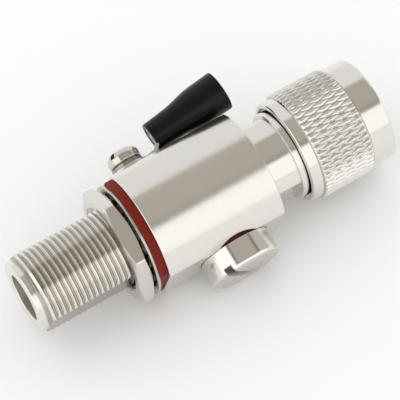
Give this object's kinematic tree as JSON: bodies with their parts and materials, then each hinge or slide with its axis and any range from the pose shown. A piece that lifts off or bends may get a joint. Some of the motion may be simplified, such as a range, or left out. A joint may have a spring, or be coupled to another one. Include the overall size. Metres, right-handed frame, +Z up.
{
  "type": "coax lightning arrestor",
  "caption": "Cylindrical coaxial surge arrestor with a threaded bulkhead socket, a knurled coupling nut, a slotted gas tube cap and an earth lug.",
  "frame": {"origin": "on the main axis, at the body's panel face, where the gasket seats", "axes": "+X along the main axis toward the coupling nut; +Z up as the object lies on the body's side and the cap's rim, with the earth screw toward +Y"},
  "size_m": [0.0702, 0.0328, 0.0233],
  "materials": {
    "nickel_body": "satin nickel plating on brass",
    "nickel_neck": "satin nickel plating on brass",
    "nickel_nut": "satin nickel plating on brass",
    "nickel_hex": "satin nickel plating on brass",
    "nickel_cap": "satin nickel plating on brass",
    "nickel_contact": "bright nickel plating on brass",
    "gold_contact": "gold plating on brass",
    "steel": "plated spring steel",
    "screw_steel": "bright plated steel",
    "tinned_copper": "tin plating on copper",
    "red_silicone": "matt silicone rubber",
    "seal_rubber": "matt silicone rubber",
    "ptfe": "smooth white insulator",
    "ceramic": "white ceramic",
    "black_vinyl": "soft black vinyl"
  },
  "bodies": {
    "arrestor": {"arrestor_body": "nickel_body", "plug_neck": "nickel_neck", "snap_ring": "steel", "outer_contact": "nickel_contact", "face_gasket": "seal_rubber", "centre_conductor": "gold_contact", "plug_pin": "gold_contact", "socket_contact": "gold_contact", "front_bead": "ptfe", "rear_bead": "ptfe", "panel_gasket": "red_silicone", "gas_tube_ceramic": "ceramic", "gas_tube_line_electrode": "tinned_copper", "gas_tube_earth_electrode": "tinned_copper"},
    "coupling": {"coupling_nut": "nickel_nut"},
    "washer": {"tooth_washer": "steel"},
    "panel_nut": {"hex_nut": "nickel_hex"},
    "cap_seat": {"cap_seal": "seal_rubber", "contact_spring": "steel"},
    "cap": {"tube_cap": "nickel_cap"},
    "screw_washer": {"spring_washer": "steel"},
    "screw": {"earth_screw": "screw_steel"},
    "lug": {"ring_lug": "tinned_copper", "lug_sleeve": "black_vinyl"}
  },
  "joints": [
    {"name": "coupling_spin", "type": "hinge", "parent": "arrestor", "child": "coupling", "pos_m": [0.039, 0, 0], "axis": [1, 0, 0], "continuous": true},
    {"name": "panel_nut_travel", "type": "slide", "parent": "arrestor", "child": "washer", "axis": [-1, 0, 0], "range_m": [0, 0.01534]},
    {"name": "panel_nut_turn", "type": "hinge", "parent": "washer", "child": "panel_nut", "pos_m": [-0.00375, 0, 0], "axis": [-1, 0, 0], "range_deg": [0, 5220]},
    {"name": "cap_travel", "type": "slide", "parent": "arrestor", "child": "cap_seat", "axis": [0, -0.9227, -0.3856], "range_m": [0, 0.004]},
    {"name": "cap_turn", "type": "hinge", "parent": "cap_seat", "child": "cap", "pos_m": [0.0136, -0.00943, -0.00394], "axis": [0, -0.9227, -0.3856], "range_deg": [0, 1440]},
    {"name": "screw_travel", "type": "slide", "parent": "arrestor", "child": "screw_washer", "axis": [0, 0.9227, 0.3856], "range_m": [0, 0.004]},
    {"name": "screw_turn", "type": "hinge", "parent": "screw_washer", "child": "screw", "pos_m": [0.0051, 0.00943, 0.00394], "axis": [0, 0.9227, 0.3856], "range_deg": [0, 2880]},
    {"name": "lug_swivel", "type": "hinge", "parent": "arrestor", "child": "lug", "pos_m": [0.0051, 0.00943, 0.00394], "axis": [0, 0.9227, 0.3856], "range_deg": [-90, 90]}
  ],
  "couplings": [
    {"joint": "panel_nut_turn", "follows": "panel_nut_travel", "rad_per_m": 5937.1},
    {"joint": "cap_turn", "follows": "cap_travel", "rad_per_m": 6283.2},
    {"joint": "screw_turn", "follows": "screw_travel", "rad_per_m": 12566}
  ]
}
